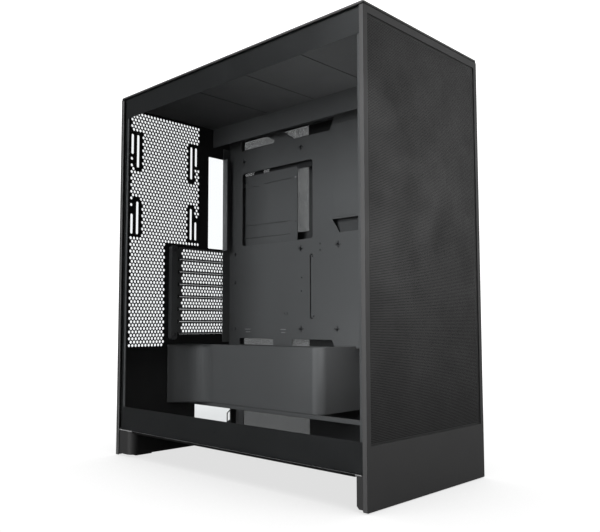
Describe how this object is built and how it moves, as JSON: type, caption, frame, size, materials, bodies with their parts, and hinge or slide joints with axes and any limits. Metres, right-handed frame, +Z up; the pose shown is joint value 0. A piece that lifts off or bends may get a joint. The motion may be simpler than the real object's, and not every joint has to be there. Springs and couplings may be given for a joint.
{
  "type": "desktop computer tower case",
  "caption": "Mid-tower desktop computer case with a glass left side, perforated front, rear and right side, an empty interior with a motherboard tray, and pull-off panels.",
  "frame": {"origin": "centre of the footprint, on the ground", "axes": "+Z up, the front panel faces -Y, the glass side faces -X"},
  "size_m": [0.244, 0.47, 0.544],
  "materials": {
    "chassis_steel": "black powder coat, fine grain",
    "panel_steel": "black powder coat, satin",
    "mesh_steel": "black coated perforated sheet",
    "black_plastic": "matt moulded plastic",
    "fan_plastic": "satin moulded plastic",
    "filter_cloth": "fine nylon dust mesh",
    "tinted_glass": "tinted tempered glass, printed black border",
    "rubber": "matt rubber",
    "board": "dark solder mask",
    "plated": "nickel plated shell"
  },
  "bodies": {
    "chassis": {"base_pan": "chassis_steel", "rear_panel": "chassis_steel", "front_frame": "chassis_steel", "top_frame": "chassis_steel", "top_side_rail": "chassis_steel", "motherboard_tray": "chassis_steel", "supply_shroud": "chassis_steel", "shroud_ledge": "chassis_steel", "supply_bracket": "chassis_steel", "slot_clamp": "chassis_steel", "drive_tray": "chassis_steel", "slot_cover_1": "chassis_steel", "slot_cover_2": "chassis_steel", "slot_cover_3": "chassis_steel", "slot_cover_4": "chassis_steel", "slot_cover_5": "chassis_steel", "slot_cover_6": "chassis_steel", "slot_cover_7": "chassis_steel", "front_foot": "black_plastic", "rear_foot": "black_plastic", "foot_pad_front_left": "rubber", "foot_pad_front_right": "rubber", "foot_pad_rear_left": "rubber", "foot_pad_rear_right": "rubber", "fan_frame_lower": "fan_plastic", "fan_frame_middle": "fan_plastic", "fan_frame_upper": "fan_plastic", "port_board": "board", "power_switch": "black_plastic", "audio_jack": "black_plastic", "usb_port_front": "plated", "usb_port_rear": "plated", "usb_port_small": "plated"},
    "glass_panel": {"glass_pane": "tinted_glass", "glass_strip_upper": "panel_steel", "glass_strip_lower": "panel_steel"},
    "side_panel": {"side_panel": "panel_steel"},
    "front_panel": {"front_bezel": "black_plastic", "front_mesh": "mesh_steel", "front_filter": "filter_cloth"},
    "top_panel": {"top_cover": "panel_steel"},
    "bottom_filter": {"bottom_filter": "filter_cloth"},
    "power_button": {"power_button": "black_plastic"},
    "rotor_lower": {"fan_rotor_lower": "fan_plastic"},
    "rotor_middle": {"fan_rotor_middle": "fan_plastic"},
    "rotor_upper": {"fan_rotor_upper": "fan_plastic"}
  },
  "joints": [
    {"name": "glass_pull", "type": "slide", "parent": "chassis", "child": "glass_panel", "axis": [-1, 0, 0], "range_m": [0, 0.06]},
    {"name": "side_pull", "type": "slide", "parent": "chassis", "child": "side_panel", "axis": [1, 0, 0], "range_m": [0, 0.06]},
    {"name": "front_pull", "type": "slide", "parent": "chassis", "child": "front_panel", "axis": [0, -1, 0], "range_m": [0, 0.06]},
    {"name": "top_lift", "type": "slide", "parent": "chassis", "child": "top_panel", "axis": [0, 0, 1], "range_m": [0, 0.05]},
    {"name": "filter_slide", "type": "slide", "parent": "chassis", "child": "bottom_filter", "axis": [-1, 0, 0], "range_m": [0, 0.14]},
    {"name": "power_press", "type": "slide", "parent": "chassis", "child": "power_button", "axis": [0, 0, -1], "range_m": [0, 0.0012], "stiffness_N_per_m": 900},
    {"name": "fan_lower_spin", "type": "hinge", "parent": "chassis", "child": "rotor_lower", "pos_m": [0, -0.2147, 0.176], "axis": [0, 1, 0], "continuous": true},
    {"name": "fan_middle_spin", "type": "hinge", "parent": "chassis", "child": "rotor_middle", "pos_m": [0, -0.2147, 0.3], "axis": [0, 1, 0], "continuous": true},
    {"name": "fan_upper_spin", "type": "hinge", "parent": "chassis", "child": "rotor_upper", "pos_m": [0, -0.2147, 0.424], "axis": [0, 1, 0], "continuous": true}
  ]
}
